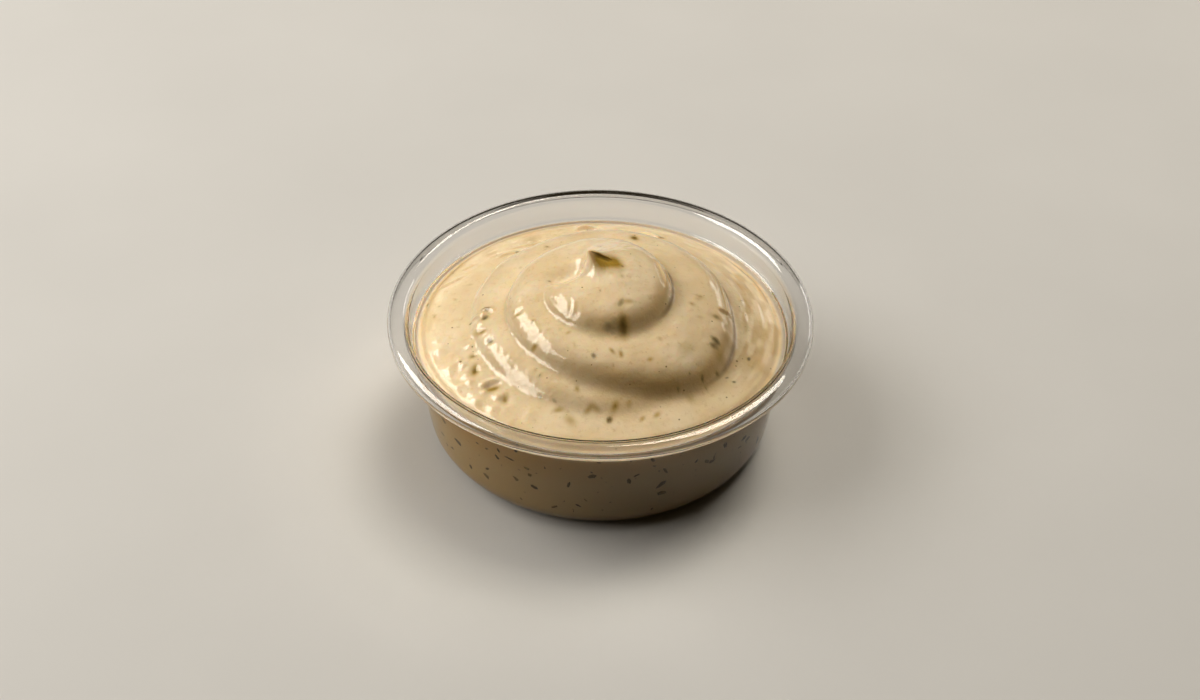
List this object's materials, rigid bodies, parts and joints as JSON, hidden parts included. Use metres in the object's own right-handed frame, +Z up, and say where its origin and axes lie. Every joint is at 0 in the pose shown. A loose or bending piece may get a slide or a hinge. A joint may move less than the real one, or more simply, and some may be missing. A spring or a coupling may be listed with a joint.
{
  "type": "dish of jalapeno yogurt sauce",
  "caption": "Squat round clear plastic portion cup with an arched lip, filled with thick pale yogurt sauce swirled up to a leaning peak and flecked with jalapeno.",
  "frame": {"origin": "middle of the cup's flat base, on the surface it stands on", "axes": "+Z up through the middle of the cup, -Y towards the picture's camera, +X to the picture's right"},
  "size_m": [0.074, 0.074, 0.0363],
  "materials": {
    "clear_plastic": "clear, glossy",
    "yogurt_sauce": "moist, soft gloss"
  },
  "bodies": {
    "root": {"cup": "clear_plastic", "sauce": "yogurt_sauce"}
  },
  "joints": []
}
